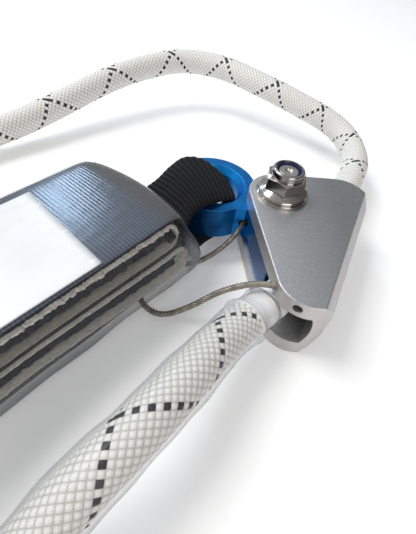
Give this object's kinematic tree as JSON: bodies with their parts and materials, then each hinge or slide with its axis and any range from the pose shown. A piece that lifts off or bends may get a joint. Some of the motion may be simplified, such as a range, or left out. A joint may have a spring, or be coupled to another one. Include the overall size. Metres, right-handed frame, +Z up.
{
  "type": "rope grab belay device",
  "caption": "Cam rope grab with an eye lever, a folded-webbing energy absorber in clear film and a length of braided rope through its channel.",
  "frame": {"origin": "the lever's pivot axis at the housing's underside, which lies on the ground", "axes": "+X from the pivot to the rope groove, +Y to the wide end of the housing, +Z up along the pivot bolt towards its nut"},
  "size_m": [0.3204, 0.2648, 0.0357],
  "materials": {
    "housing_aluminium": "bead-blasted, clear anodised",
    "stainless": "polished",
    "dark_steel": "black oxide",
    "nylon_blue": "moulded",
    "lever_blue": "satin blue anodised",
    "bush_polymer": "moulded",
    "cable_steel": "stranded",
    "webbing_black": "ribbed weave",
    "webbing_beige": "coarse weave",
    "webbing_grey": "fine weave",
    "clear_film": "glossy film",
    "label_white": "printed film, blank",
    "thread": "stitched",
    "rope_sheath": "braided with black tracers",
    "tie_black": "hook and loop",
    "shrink_black": "shrink tube",
    "clear_sleeve": "clear tube"
  },
  "bodies": {
    "housing": {"housing_body": "housing_aluminium", "pivot_bolt": "stainless", "spacer_sleeve": "stainless", "flat_washer": "stainless", "flange_nut": "stainless", "nut_locking_insert": "nylon_blue", "safety_cable": "cable_steel", "cable_set_screw": "dark_steel", "rope_channel_run": "rope_sheath", "rope_long_run": "rope_sheath", "rope_coil": "rope_sheath", "coil_tie": "tie_black", "rope_long_end": "shrink_black", "rope_short_run": "rope_sheath", "rope_sleeve": "clear_sleeve", "rope_short_end": "shrink_black"},
    "lever": {"cam_lever": "lever_blue", "lever_bush_lower": "bush_polymer", "lever_bush_upper": "bush_polymer", "cable_ferrule": "cable_steel"},
    "absorber": {"eye_webbing": "webbing_black", "absorber_cover": "clear_film", "tear_webbing_upper": "webbing_beige", "tear_webbing_lower": "webbing_beige", "core_strap_upper": "webbing_grey", "core_strap_lower": "webbing_grey", "top_strap": "webbing_grey", "bottom_strap": "webbing_grey", "label": "label_white", "harness_loop": "webbing_black", "harness_stitching": "thread"}
  },
  "joints": [
    {"name": "lever_pivot", "type": "hinge", "parent": "housing", "child": "lever", "pos_m": [0, 0, 0.0125], "axis": [0, 0, 1], "range_deg": [-10, 2], "deforming": ["safety_cable"]},
    {"name": "absorber_swing", "type": "hinge", "parent": "lever", "child": "absorber", "pos_m": [-0.0263, -0.0011, 0.0125], "axis": [0, 0, 1], "range_deg": [-15, 6]}
  ]
}
